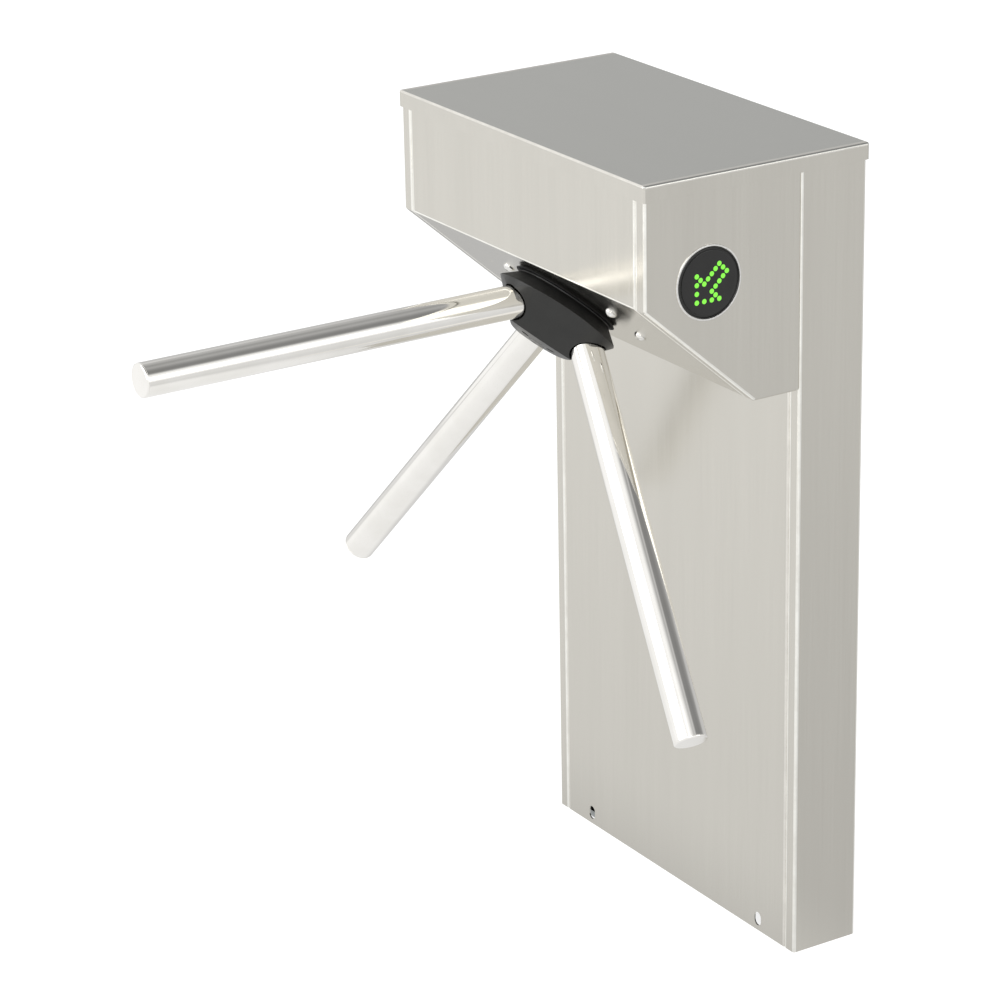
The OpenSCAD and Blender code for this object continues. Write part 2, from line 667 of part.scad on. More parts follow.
module lock_disc() color("#77797b") at_rotor() difference() {
    union() {
        translate([0, 0, lock_bottom]) cylinder(r = lock_root_r, h = lock_t);
        translate([0, 0, lock_top - eps]) cylinder(r = shaft_r + 8, h = gear_bottom - lock_top + eps);
        for (a = [0, 120, 240]) translate([0, 0, lock_bottom]) rotate([0, 0, lug_angle + a])
            linear_extrude(lock_t) polygon([
                polar(lock_root_r - 4, -lug_half - 1), polar(lock_lug_r, -lug_half),
                polar(lock_lug_r, lug_half), polar(lock_root_r - 4, lug_half + 1)]);
    }
    translate([0, 0, lock_bottom - 1]) cylinder(r = shaft_r + fit, h = lock_t + 4);
}
module shaft_nut() color(zinc) at_rotor() translate([0, 0, lock_bottom - nut_t]) difference() {
    cylinder(r = shaft_r + 7, h = nut_t, $fn = 6);
    translate([0, 0, -1]) cylinder(r = shaft_r - 3 + fit, h = nut_t + 2);
}

// Bar with square ends between two points of a plane
module bar(a, b, w) {
    u = (b - a) / norm(b - a);
    n = [-u.y, u.x] * w / 2;
    polygon([a + n, a - n, b - n, b + n]);
}

// Pawl, drawn engaged behind its lug and then turned to its released place
module pawl() color("#8a8d8f") at_rotor() translate([0, 0, lock_bottom]) {
    tail = pawl_pin + polar(tail_l, -pawl_turn / 2);
    neck = polar(lock_lug_r + 6, nose_start + nose_turn / 2);
    nose_end = nose_start + nose_turn;
    translate([pawl_pin.x, pawl_pin.y, 0]) rotate([0, 0, pawl_turn])
        translate([-pawl_pin.x, -pawl_pin.y, 0]) difference() {
            union() {
                linear_extrude(lock_t) {
                    polygon([polar(nose_in, nose_start), polar(nose_out, nose_start),
                        polar(nose_out, nose_end), polar(nose_in, nose_end)]);
                    bar(neck, pawl_pin, pawl_w);
                    bar(pawl_pin, tail, pawl_w);
                }
                translate([pawl_pin.x, pawl_pin.y, 0]) cylinder(r = boss_r, h = lock_t);
                translate([tail.x, tail.y, 0]) cylinder(r = link_pin_r + 4.5, h = lock_t);
            }
            translate([pawl_pin.x, pawl_pin.y, -1]) cylinder(r = pawl_pin_r + 0.05, h = lock_t + 2);
            translate([tail.x, tail.y, -1]) rotate([0, 0, -pawl_turn / 2])
                slot(2 * (link_pin_r + 0.3), 2 * (link_pin_r + 1.5), lock_t + 2);
        }
}
module pawl_right() pawl();
module pawl_left() mirror([1, 0, 0]) pawl();

// Posts from the chassis plate whose thin ends are the pawls' pins, closed by clips
module pawl_pins() color(zinc) at_rotor() both() translate([pawl_pin.x, pawl_pin.y, 0]) {
    translate([0, 0, lock_top + seat]) cylinder(r = boss_r - 2, h = plate_in - lock_top - seat);
    translate([0, 0, lock_bottom - 10]) cylinder(r = pawl_pin_r, h = lock_t + 10.5);
    translate([0, 0, lock_bottom - 9]) cylinder(r = pawl_pin_r + 2.5, h = 1.2);
}
module pawl_springs() color("#6d7072") at_rotor() both() for (i = [0 : 3])
    translate([pawl_pin.x, pawl_pin.y, lock_bottom - 6.45 + 1.7 * i])
        rotate_extrude() translate([pawl_pin_r + 1.4, 0]) circle(r = 0.95, $fn = 24);

// Plunger with the link pin that moves the pawl's tail
module plunger() color(bright) at_rotor() translate([link_x, 0, 0]) {
    translate([-6, link_p - 8, lock_bottom - 2 * plunger_r - 2]) cube([12, 16, 2 * plunger_r + 1.2]);
    translate([0, link_p, lock_bottom - 1]) cylinder(r = link_pin_r, h = lock_t + 1);
    translate([0, solenoid_p - solenoid_l * 0.6, plunger_z])
        y_cylinder(plunger_r, link_p - 8 + eps - solenoid_p + solenoid_l * 0.6);
}
module plunger_right() plunger();
module plunger_left() mirror([1, 0, 0]) plunger();

module solenoid_form() difference() {
    union() {
        translate([-solenoid_w / 2, 0, -solenoid_h / 2]) cube([solenoid_w, 4, solenoid_h]);
        translate([-solenoid_w / 2, solenoid_l - 4, -solenoid_h / 2]) cube([solenoid_w, 4, solenoid_h]);
        translate([solenoid_w / 2 - 3, 0, -solenoid_h / 2]) cube([3, solenoid_l, solenoid_h]);
        translate([-0.5, 2, 0]) y_cylinder(solenoid_h / 2 - 1, solenoid_l - 4);
    }
    translate([0, solenoid_l * 0.2, 0]) y_cylinder(plunger_r + 0.2, solenoid_l);
}
module solenoid() color("#4c5054") at_rotor()
    translate([link_x, solenoid_p - solenoid_l, plunger_z]) solenoid_form();
module solenoid_right() solenoid();
module solenoid_left() mirror([1, 0, 0]) solenoid();

// Angle from the chassis plate that carries a solenoid on its side
module solenoid_bracket() color(zinc) at_rotor() {
    top = plunger_z - solenoid_h / 2;
    translate([solenoid_wall_x, solenoid_p - solenoid_l, 0]) {
        translate([0, 0, top]) cube([solenoid_t, solenoid_l, plate_in - top]);
        translate([solenoid_t - eps, 0, plate_in - solenoid_t])
            cube([solenoid_foot, solenoid_l, solenoid_t]);
    }
}
module solenoid_bracket_right() solenoid_bracket();
module solenoid_bracket_left() mirror([1, 0, 0]) solenoid_bracket();

// Indicator: cup through the head's side, bright ring, dark face and the arrow of light points
module at_lamp() translate([half_w, lamp_at.x, lamp_at.y]) rotate([90, 0, 90]) children();
module indicator_housing() color(black) at_lamp() difference() {
    translate([0, 0, -lamp_depth]) cylinder(r = lamp_hole_r, h = lamp_depth);
    translate([0, 0, -lamp_depth + 2]) cylinder(r = lamp_hole_r - 2, h = lamp_depth);
}
module indicator_bezel() color(bright) at_lamp() rotate_extrude() polygon(concat(
    [[lamp_r, 0], [lamp_r + lamp_ring, 0]],
    arc([lamp_r + lamp_ring - 0.8, 0.6], 0.8, 0, 90), [[lamp_r, 1.4]]));
module indicator_lens() color("#2b2c2a") at_lamp() rotate_extrude() polygon(concat(
    [[0, 0], [lamp_r - 0.1, 0]], arc([lamp_r - 0.1 - lens_t, 0], lens_t, 0, 90), [[0, lens_t]]));
module indicator_leds() color(green) at_lamp() for (p = arrow)
    translate([(p.x - arrow_centre.x) * led_pitch, (p.y - arrow_centre.y) * led_pitch, lens_t])
        cylinder(r = led_r, h = 0.4, $fn = 32);
module indicator_housing_right() indicator_housing();
module indicator_housing_left() mirror([1, 0, 0]) indicator_housing();
module indicator_bezel_right() indicator_bezel();
module indicator_bezel_left() mirror([1, 0, 0]) indicator_bezel();
module indicator_lens_right() indicator_lens();
module indicator_lens_left() mirror([1, 0, 0]) indicator_lens();
module indicator_leds_right() indicator_leds();
module indicator_leds_left() mirror([1, 0, 0]) indicator_leds();

// Tray on the column's back that holds the control board on its bent edges
module board_tray() color(zinc) translate([-tray_w / 2, tray_y, board_z]) {
    translate([0, tray_d - tray_t, 0]) cube([tray_w, tray_t, tray_h]);
    for (x = [0, tray_w - tray_t]) translate([x, 0, 0]) cube([tray_t, tray_d - tray_t / 2, tray_h]);
}

// Circuit board with terminal blocks, relays, a processor and two capacitors
module control_board() color("#2f6b45") {
    u = board_unit;
    translate([-tray_w / 2, tray_y - board_t, board_z + u]) {
        cube([tray_w, board_t, tray_h - 2 * u]);
        for (i = [0 : 5]) translate([(1.4 + 3 * i) * u, -0.9 * u, tray_h - 3.6 * u])
            cube([2.4 * u, 0.9 * u + eps, 1.2 * u]);
        for (i = [0 : 2]) translate([(2 + 3.4 * i) * u, -1.5 * u, 2.2 * u])
            cube([2.6 * u, 1.5 * u + eps, 1.8 * u]);
        translate([7 * u, -0.3 * u, 9 * u]) cube([4 * u, 0.3 * u + eps, 4 * u]);
        for (i = [0 : 1]) translate([(15 + 2.2 * i) * u, eps, 6 * u]) rotate([90, 0, 0])
            cylinder(r = 0.8 * u, h = 1.6 * u);
    }
}

// Boxed power supply with vent slots
module power_supply() color("#9c9fa1")
    translate([-supply_w / 2, half_d - sheet_t - supply_d, supply_z]) difference() {
        cube([supply_w, supply_d, supply_h]);
        for (i = [3 : 14]) translate([(i + 0.5) * vent_pitch - vent_w / 2, -1, supply_h * 0.2])
            cube([vent_w, 3, supply_h * 0.6]);
    }

base_frame();
column_shell();
column_front_panel();
head_cheek_right();
head_cheek_left();
head_front_panel();
head_bolts();
lid();
seal_ring();
underside_screws();
chassis_plate();
chassis_bracket_right();
chassis_bracket_left();
bearing_housing();
housing_screws();
front_bearing();
rear_bearing();
rotor_shaft();
shaft_key();
hub();
hub_cap();
hub_bolt();
arm_front();
arm_right();
arm_left();
end_cap_front();
end_cap_right();
end_cap_left();
arm_set_screws();
damper_gear();
lock_disc();
shaft_nut();
damper_bracket();
damper_body();
damper_pinion();
pawl_right();
pawl_left();
pawl_pins();
pawl_springs();
plunger_right();
plunger_left();
solenoid_right();
solenoid_left();
solenoid_bracket_right();
solenoid_bracket_left();
indicator_housing_right();
indicator_housing_left();
indicator_bezel_right();
indicator_bezel_left();
indicator_lens_right();
indicator_lens_left();
indicator_leds_right();
indicator_leds_left();
board_tray();
control_board();
power_supply();
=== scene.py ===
# Tripod turnstile in brushed stainless steel. Metres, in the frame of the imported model.
import bpy
import bmesh
import json
import math
from mathutils import Matrix, Vector


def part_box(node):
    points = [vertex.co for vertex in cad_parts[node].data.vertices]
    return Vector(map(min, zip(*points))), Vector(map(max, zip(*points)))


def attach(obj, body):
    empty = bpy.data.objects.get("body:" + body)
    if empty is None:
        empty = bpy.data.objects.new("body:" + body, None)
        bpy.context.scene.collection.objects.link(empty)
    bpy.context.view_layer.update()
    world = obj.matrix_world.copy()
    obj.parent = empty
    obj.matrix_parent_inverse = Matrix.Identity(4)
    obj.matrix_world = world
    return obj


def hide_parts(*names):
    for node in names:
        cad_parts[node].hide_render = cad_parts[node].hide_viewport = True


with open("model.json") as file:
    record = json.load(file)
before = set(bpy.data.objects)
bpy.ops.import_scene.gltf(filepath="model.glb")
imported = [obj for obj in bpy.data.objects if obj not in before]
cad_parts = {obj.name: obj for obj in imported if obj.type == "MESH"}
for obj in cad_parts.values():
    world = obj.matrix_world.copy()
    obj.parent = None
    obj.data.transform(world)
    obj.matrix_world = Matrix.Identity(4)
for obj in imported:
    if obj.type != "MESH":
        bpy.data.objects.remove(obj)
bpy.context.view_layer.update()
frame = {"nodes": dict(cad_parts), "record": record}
nodes = frame["nodes"]
record = frame["record"]
slotOf = {part["node"]: part["material_slot"] for part in record["subparts"]}
bodyOf = {node: body for body, members in record["behaviour"]["bodies"].items() for node in members}
jointOf = {joint["name"]: joint for joint in record["behaviour"]["joints"]}
mm = 0.001

# the rotor's axis points out of the underside, upSlope lies in the underside
axis = Vector(jointOf["rotor_spin"]["axis"]).normalized()
upSlope = axis.cross(Vector((-1, 0, 0)))
apex = Vector(jointOf["rotor_spin"]["pos_m"])  # where the axes of the three arms meet
print("frame loaded:", len(nodes), "nodes")


# small helpers
def toLinear(hexColour):
    channels = [int(hexColour[i:i + 2], 16) / 255 for i in (1, 3, 5)]
    return (*[c / 12.92 if c <= 0.04045 else ((c + 0.055) / 1.055) ** 2.4 for c in channels], 1)


def addNode(tree, kind, inputs, **settings):
    node = tree.nodes.new(kind)
    for key, value in settings.items():
        setattr(node, key, value)
    for key, value in inputs.items():
        if isinstance(value, bpy.types.NodeSocket):
            tree.links.new(value, node.inputs[key])
        else:
            node.inputs[key].default_value = value
    return node


def newMaterial(name):
    material = bpy.data.materials.new(name)
    material.use_nodes = True
    material.node_tree.nodes.clear()
    return material, material.node_tree


def compute(tree, operation, *values):
    return addNode(tree, "ShaderNodeMath", dict(enumerate(values)), operation=operation).outputs[0]


def remap(tree, value, span, result=(0, 1), smooth=False):
    return addNode(tree, "ShaderNodeMapRange", {
        "Value": value, "From Min": span[0], "From Max": span[1], "To Min": result[0], "To Max": result[1]},
        interpolation_type="SMOOTHSTEP" if smooth else "LINEAR").outputs["Result"]


def mixValues(tree, factor, first, second):
    return addNode(tree, "ShaderNodeMix", {
        "Factor": factor, 2: first, 3: second}, data_type="FLOAT").outputs[0]


def reachAlong(tree, vector, direction):
    return addNode(tree, "ShaderNodeVectorMath", {
        0: vector, 1: direction}, operation="DOT_PRODUCT").outputs["Value"]


# camera, fitted to the photograph's corners
cameraView = {
    "azimuth": 58.055,
    "elevation": 20.763,
    "roll": -1.138,
    "lens": 136.41,
    "sensor": 36,
    "distance": 4.61741,
    "target": (0, -0.046, 0.5),
    "moveRight": -0.20877,
    "moveUp": 0.00694,
    "clip": (0.1, 100),
}


def placeCamera(view):
    turn, tip, roll = (math.radians(view[key]) for key in ("azimuth", "elevation", "roll"))
    back = Vector((math.sin(turn) * math.cos(tip), -math.cos(turn) * math.cos(tip), math.sin(tip)))
    right = Vector((math.cos(turn), math.sin(turn), 0))
    up = back.cross(right)
    across = right * math.cos(roll) + up * math.sin(roll)
    upright = up * math.cos(roll) - right * math.sin(roll)
    place = Vector(view["target"]) + back * view["distance"]
    place += across * view["moveRight"] + upright * view["moveUp"]
    data = bpy.data.cameras.new("camera")
    data.lens = view["lens"]
    data.sensor_width = view["sensor"]
    data.clip_start, data.clip_end = view["clip"]
    camera = bpy.data.objects.new("camera", data)
    bpy.context.scene.collection.objects.link(camera)
    camera.matrix_world = Matrix.Translation(place) @ Matrix((across, upright, back)).transposed().to_4x4()
    bpy.context.scene.camera = camera


placeCamera(cameraView)
print("camera placed")

# studio: a white floor and light walls, a grey ceiling with a pale strip, a dimmer rear left corner,
# a bright panel above the camera and two soft boxes. Levels of light are shares of full white, and
# spans without a unit are shares of a direction of length 1
studio = {
    "floorRadius": 14,
    "floorSides": 96,
    "floorDropMm": 0.2,
    "floorTone": 0.35,               # what the paper gives back of the lamps' light
    "floorSeen": 0.86,               # its own white for the camera; the room adds the rest
    "floorBounce": 0.45,             # what it gives to matt surfaces
    "floorInMetal": (0.86, 0.99),    # what metal sees of it under the body and far away
    "floorReach": 2.5,               # metres from the body to that far tone
    "floorBack": 0.765,              # share of it that is left behind the body
    "floorBackSpan": (-0.2, 0.1),    # where that share sets in, in metres behind the middle of the body
    "floorCorner": 0.77,             # share left towards the rear left corner
    "floorCornerSpan": (0.5, 1.3),   # metres that way
    "cornerToward": (-0.6, 0.8, 0),
    "cornerLight": 0.56,             # the rear left corner of the room, which the lid mirrors
    "cornerSpan": (0.65, 0.85),
    "wallLight": 1.0,
    "ceilingSpan": (0.72, 0.94),     # the height at which the walls turn into the ceiling
    "ceilingLean": 0.4,              # how much further up the walls' light reaches in front than behind
    "ceilingArch": 0.25,             # how much that limit curves from front to back
    "ceilingTones": ((-0.8, 0.58), (-0.45, 0.45), (-0.25, 0.33), (0.03, 0.42), (0.25, 0.29), (0.42, 0.23),
                     (1, 0.3)),      # x, level
    "stripLight": 0.28,              # what the strip adds to the ceiling
    "stripAt": 0.2,
    "stripHalf": 0.17,
    "keyLight": 2.4,                 # the panel above the camera, which the level arm throws on the head
    "keyToward": (0.66, -0.49, 0.57),
    "keySpan": (0.93, 0.98),
    "boxes": {
        "rightBox": {"place": (2.7, 0.95, 1.6), "aim": (0.1, -0.45, 0.78), "size": (1.3, 1.1), "power": 5},
        "frontBox": {"place": (-0.6, -3.3, 2.2), "aim": (0.1, -0.3, 0.6), "size": (3.6, 3.0), "power": 50},
    },
}


def ceilingLevel(tree, setup, x, y):
    tones = addNode(tree, "ShaderNodeValToRGB", {"Fac": compute(tree, "MULTIPLY_ADD", x, 0.5, 0.5)})
    stops = tones.color_ramp.elements
    for i, (place, tone) in enumerate(setup["ceilingTones"]):
        stop = stops[i] if i < 2 else stops.new(1)  # a new ramp has two stops
        stop.position = (place + 1) / 2
        stop.color = (tone, tone, tone, 1)
    fromStrip = compute(tree, "ABSOLUTE", compute(tree, "SUBTRACT", y, setup["stripAt"]))
    strip = remap(tree, fromStrip, (0, setup["stripHalf"]), (setup["stripLight"], 0), smooth=True)
    return compute(tree, "ADD", tones.outputs["Color"], strip)


def makeWorld(setup):
    world = bpy.data.worlds.new("studio")
    bpy.context.scene.world = world
    world.use_nodes = True
    tree = world.node_tree
    tree.nodes.clear()
    direction = addNode(tree, "ShaderNodeTexCoord", {}).outputs["Generated"]
    x, y, z = addNode(tree, "ShaderNodeSeparateXYZ", {"Vector": direction}).outputs
    lean = compute(tree, "MULTIPLY_ADD", y, setup["ceilingArch"], setup["ceilingLean"])
    inCeiling = remap(tree, compute(tree, "MULTIPLY_ADD", y, lean, z), setup["ceilingSpan"], smooth=True)
    level = mixValues(tree, inCeiling, setup["wallLight"], ceilingLevel(tree, setup, x, y))
    corner = remap(tree, reachAlong(tree, direction, setup["cornerToward"]), setup["cornerSpan"],
                   (1, setup["cornerLight"]), smooth=True)
    key = remap(tree, reachAlong(tree, direction, setup["keyToward"]), setup["keySpan"],
                (1, setup["keyLight"]), smooth=True)
    level = compute(tree, "MULTIPLY", compute(tree, "MULTIPLY", level, corner), key)
    room = addNode(tree, "ShaderNodeBackground", {"Color": (1, 1, 1, 1), "Strength": level})
    white = addNode(tree, "ShaderNodeBackground", {"Color": (1, 1, 1, 1), "Strength": 1})
    ray = addNode(tree, "ShaderNodeLightPath", {})
    seen = addNode(tree, "ShaderNodeMixShader", {
        0: ray.outputs["Is Camera Ray"], 1: room.outputs[0], 2: white.outputs[0]})
    addNode(tree, "ShaderNodeOutputWorld", {"Surface": seen.outputs[0]})


def paperSweep(setup):
    # white paper: matt and evenly lit for the camera, with the tones of a larger room for what mirrors it
    material, tree = newMaterial("white paper sweep")
    ray = addNode(tree, "ShaderNodeLightPath", {})
    coords = addNode(tree, "ShaderNodeTexCoord", {}).outputs["Object"]
    away = addNode(tree, "ShaderNodeVectorMath", {0: coords}, operation="LENGTH").outputs["Value"]
    reach = remap(tree, away, (0, setup["floorReach"]), setup["floorInMetal"])
    behind = addNode(tree, "ShaderNodeSeparateXYZ", {"Vector": coords}).outputs["Y"]
    back = remap(tree, behind, setup["floorBackSpan"], (1, setup["floorBack"]), smooth=True)
    corner = remap(tree, reachAlong(tree, coords, setup["cornerToward"]), setup["floorCornerSpan"],
                   (1, setup["floorCorner"]))
    inMetal = compute(tree, "MULTIPLY", reach, compute(tree, "MULTIPLY", corner, back))
    direct = compute(tree, "MAXIMUM", ray.outputs["Is Camera Ray"], ray.outputs["Is Transmission Ray"])
    seen = mixValues(tree, direct, setup["floorBounce"], setup["floorSeen"])
    strength = mixValues(tree, ray.outputs["Is Glossy Ray"], seen, inMetal)
    tone = setup["floorTone"]
    paper = addNode(tree, "ShaderNodeBsdfDiffuse", {"Color": (tone, tone, tone, 1)})
    glow = addNode(tree, "ShaderNodeEmission", {"Color": (1, 1, 1, 1), "Strength": strength})
    both = addNode(tree, "ShaderNodeAddShader", {0: paper.outputs[0], 1: glow.outputs[0]})
    onlyGlow = addNode(tree, "ShaderNodeMixShader", {
        0: ray.outputs["Is Glossy Ray"], 1: both.outputs[0], 2: glow.outputs[0]})
    addNode(tree, "ShaderNodeOutputMaterial", {"Surface": onlyGlow.outputs[0]})
    return material


def makeFloor(setup):
    shape = bmesh.new()
    bmesh.ops.create_circle(shape, cap_ends=True, segments=setup["floorSides"], radius=setup["floorRadius"])
    bmesh.ops.translate(shape, verts=shape.verts, vec=(0, 0, -setup["floorDropMm"] * mm))
    data = bpy.data.meshes.new("studio_floor")
    shape.to_mesh(data)
    shape.free()
    floor = bpy.data.objects.new("studio_floor", data)
    bpy.context.scene.collection.objects.link(floor)
    data.materials.append(paperSweep(setup))


def makeLights(setup):
    for name, box in setup["boxes"].items():
        data = bpy.data.lights.new(name, "AREA")
        data.shape = "RECTANGLE"
        data.size, data.size_y = box["size"]
        data.energy = box["power"]
        lamp = bpy.data.objects.new(name, data)
        bpy.context.scene.collection.objects.link(lamp)
        lamp.location = box["place"]
        aim = Vector(box["aim"]) - Vector(box["place"])
        lamp.rotation_euler = aim.to_track_quat("-Z", "Y").to_euler()


makeWorld(studio)
makeFloor(studio)
makeLights(studio)
bpy.context.scene.view_settings.view_transform = "Standard"
print("studio lit")

# materials: noise is drawn in millimetres, and its middle range is spread over two tones and two glosses
noiseSpan = (0.35, 0.65)
brushing = {"strokeDetail": 3, "strokeRoughness": 0.65, "streakDetail": 2, "streakRoughness": 0.5,
            "streakShare": 0.45}
skin = {"cloudDetail": 3, "cloudRoughness": 0.55, "gritDetail": 2, "gritRoughness": 0.5}


def noise(tree, coords, scale, detail, roughness):
    return addNode(tree, "ShaderNodeTexNoise", {
        "Vector": coords, "Scale": scale, "Detail": detail, "Roughness": roughness}).outputs["Fac"]


def stretched(tree, coords, sizesMm):
    return addNode(tree, "ShaderNodeMapping", {
        "Vector": coords, "Scale": [1 / (size * mm) for size in sizesMm]}).outputs["Vector"]


def addShader(tree, look, spread, gloss, height):
    tone = addNode(tree, "ShaderNodeMix", {
        "Factor": spread, 6: toLinear(look["dark"]), 7: toLinear(look["light"])}, data_type="RGBA")
    relief = addNode(tree, "ShaderNodeBump", {
        "Height": height, "Strength": look["reliefStrength"], "Distance": look["reliefMm"] * mm})
    shader = addNode(tree, "ShaderNodeBsdfPrincipled", {
        "Base Color": tone.outputs[2], "Metallic": look["metallic"], "Roughness": gloss,
        "Normal": relief.outputs["Normal"]})
    if "ior" in look:
        shader.inputs["IOR"].default_value = look["ior"]
    addNode(tree, "ShaderNodeOutputMaterial", {"Surface": shader.outputs[0]})


def brushedSteel(name, look):
    # belt-brushed cold-rolled sheet: fine strokes one way, broad faint streaks, a satin gloss that
    # mirrors only large bright and dark shapes
    material, tree = newMaterial(name)
    coords = addNode(tree, "ShaderNodeTexCoord", {}).outputs["Object"]
    strokes = noise(tree, stretched(tree, coords, look["strokeMm"]), 1,
                    brushing["strokeDetail"], brushing["strokeRoughness"])
    streaks = noise(tree, stretched(tree, coords, look["streakMm"]), 1,
                    brushing["streakDetail"], brushing["streakRoughness"])
    both = mixValues(tree, brushing["streakShare"], strokes, streaks)
    spread = remap(tree, both, noiseSpan)
    gloss = remap(tree, both, noiseSpan, look["roughness"])
    addShader(tree, look, spread, gloss, strokes)
    return material


def mottled(name, look):
    # one base tone with a soft cloud of a second, a matching change of gloss and a fine relief
    material, tree = newMaterial(name)
    coords = addNode(tree, "ShaderNodeTexCoord", {}).outputs["Object"]
    cloud = noise(tree, coords, 1 / (look["cloudMm"] * mm), skin["cloudDetail"], skin["cloudRoughness"])
    grit = noise(tree, coords, 1 / (look["gritMm"] * mm), skin["gritDetail"], skin["gritRoughness"])
    spread = remap(tree, cloud, noiseSpan)
    gloss = remap(tree, cloud, noiseSpan, look["roughness"])
    addShader(tree, look, spread, gloss, grit)
    return material


def ringed(name, look):
    # fine rings square to one direction, as a lathe tool or a wound wire leaves them
    material, tree = newMaterial(name)
    coords = addNode(tree, "ShaderNodeTexCoord", {}).outputs["Object"]
    reach = reachAlong(tree, coords, look["along"])
    turned = compute(tree, "MULTIPLY", reach, 2 * math.pi / (look["pitchMm"] * mm))
    spread = remap(tree, compute(tree, "SINE", turned), (-1, 1))
    addShader(tree, look, spread, look["roughness"], spread)
    return material


def litPoints(name, look):
    # the green light of diodes behind clear domes: bright, flat in tone, a little gloss
    material, tree = newMaterial(name)
    shader = addNode(tree, "ShaderNodeBsdfPrincipled", {
        "Base Color": toLinear(look["dome"]), "Roughness": look["roughness"],
        "Emission Color": toLinear(look["light"]), "Emission Strength": look["strength"]})
    addNode(tree, "ShaderNodeOutputMaterial", {"Surface": shader.outputs[0]})
    return material


# belt-brushed stainless sheet: a warm pale grey with a soft satin sheen and faint upright strokes;
# real brushing is 0.1 to 0.3 mm between strokes, drawn at 2 mm so that it shows
sheetBrushed = {"light": "#d6d3cb", "dark": "#d2cfc7", "roughness": (0.15, 0.2), "strokeMm": (2, 2, 160),
                "streakMm": (30, 30, 700), "metallic": 1, "reliefStrength": 0.08, "reliefMm": 0.01}
# the same sheet with the strokes across, for the panel that is bent over the head's front and underside
panelBrushed = {**sheetBrushed, "strokeMm": (2, 160, 160), "streakMm": (30, 700, 700)}
# a duller belt finish on the lid's top, in a grey a little darker and cooler than the walls' that is partly
# painted shade: an even tone that mirrors no shape
lidBrushed = {"light": "#d0d0cb", "dark": "#cecec9", "roughness": (0.25, 0.27), "strokeMm": (160, 2, 2),
              "streakMm": (700, 30, 30), "metallic": 1, "reliefStrength": 0.015, "reliefMm": 0.005}
# bends and seam strips painted near white: a painted highlight that stands for the thin white line the
# rounded bends catch
steelPaintedHighlight = {"light": "#fbfaf4", "dark": "#f1efe8", "roughness": (0.16, 0.2), "cloudMm": 25,
                  "gritMm": 3, "metallic": 1, "reliefStrength": 0.03, "reliefMm": 0.01}
# the same painted highlight, softer and a little greyer, for the column's front panel and the lid's edges
steelDimPaintedHighlight = {**steelPaintedHighlight, "light": "#ebe8e1", "dark": "#e2dfd8", "roughness": (0.2, 0.25)}
# mirror-polished tube: almost white, with very soft waves in what it mirrors
steelPolished = {"light": "#faf8f4", "dark": "#f5f3ee", "roughness": (0.05, 0.08), "cloudMm": 45,
                 "gritMm": 9, "metallic": 1, "reliefStrength": 0.05, "reliefMm": 0.01}
# baked powder coat on cast metal: soft black, low gloss, a fine orange-peel skin
powderCoat = {"light": "#21211f", "dark": "#1c1c1a", "roughness": (0.29, 0.36), "cloudMm": 30,
              "gritMm": 1.2, "metallic": 0, "reliefStrength": 0.25, "reliefMm": 0.04, "ior": 1.47}
# the same coat darkened to a deep matt black as painted shade, on the hub's faces towards the underside and
# on the seal ring
powderPaintedShade = {"light": "#161615", "dark": "#10100f", "roughness": (0.55, 0.65), "cloudMm": 20,
              "gritMm": 1.2, "metallic": 0, "reliefStrength": 0.25, "reliefMm": 0.04, "ior": 1.45}
# the coat lightened to grey along the hub's crease: a painted highlight
powderCreaseHighlight = {"light": "#565652", "dark": "#4a4a46", "roughness": (0.36, 0.44), "cloudMm": 12,
              "gritMm": 1.2, "metallic": 0, "reliefStrength": 0.2, "reliefMm": 0.04, "ior": 1.5}
# bright nickel plating: small, almost white mirrors with sharp glints
nickelBright = {"light": "#f2f1ee", "dark": "#e4e3df", "roughness": (0.12, 0.18), "cloudMm": 3,
                "gritMm": 0.5, "metallic": 1, "reliefStrength": 0.1, "reliefMm": 0.01}
# zinc plating on pressed steel: a cool grey, cloudy gloss
zincPlated = {"light": "#b9bcbb", "dark": "#a4a8a8", "roughness": (0.28, 0.42), "cloudMm": 14,
              "gritMm": 1.5, "metallic": 1, "reliefStrength": 0.1, "reliefMm": 0.02}
# steel turned on a lathe: fine rings that glint; the feed is 0.1 to 0.2 mm, drawn at 0.8 mm
steelTurned = {"light": "#a9acad", "dark": "#8e9193", "roughness": 0.28, "pitchMm": 0.8,
               "metallic": 1, "reliefStrength": 0.15, "reliefMm": 0.02, "along": axis}
# aluminium as cast in sand: matt light grey with a grainy skin
aluminiumCast = {"light": "#a2a4a5", "dark": "#8f9293", "roughness": (0.5, 0.62), "cloudMm": 12,
                 "gritMm": 1, "metallic": 1, "reliefStrength": 0.5, "reliefMm": 0.15}
# folded mill-finish aluminium: a smooth, pale, slightly blue grey
aluminiumFolded = {"light": "#b4b6b7", "dark": "#a6a8aa", "roughness": (0.36, 0.44), "cloudMm": 40,
                   "gritMm": 2, "metallic": 1, "reliefStrength": 0.1, "reliefMm": 0.02}
# brass cut by a hob: warm yellow with a clean gloss, browner where oil has dried
brassCut = {"light": "#c9a75c", "dark": "#b18f48", "roughness": (0.24, 0.34), "cloudMm": 10, "gritMm": 0.8,
            "metallic": 1, "reliefStrength": 0.1, "reliefMm": 0.02}
# sprayed enamel on the damper: dark grey, even, half gloss
enamelDark = {"light": "#45494c", "dark": "#3a3d40", "roughness": (0.35, 0.45), "cloudMm": 18,
              "gritMm": 1.5, "metallic": 0, "reliefStrength": 0.2, "reliefMm": 0.04, "ior": 1.5}
# stoved enamel on the solenoids' steel frames: near black, even, a soft gloss on the edges
enamelBlack = {"light": "#2c2e30", "dark": "#232527", "roughness": (0.3, 0.4), "cloudMm": 8, "gritMm": 1,
               "metallic": 0, "reliefStrength": 0.15, "reliefMm": 0.03, "ior": 1.5}
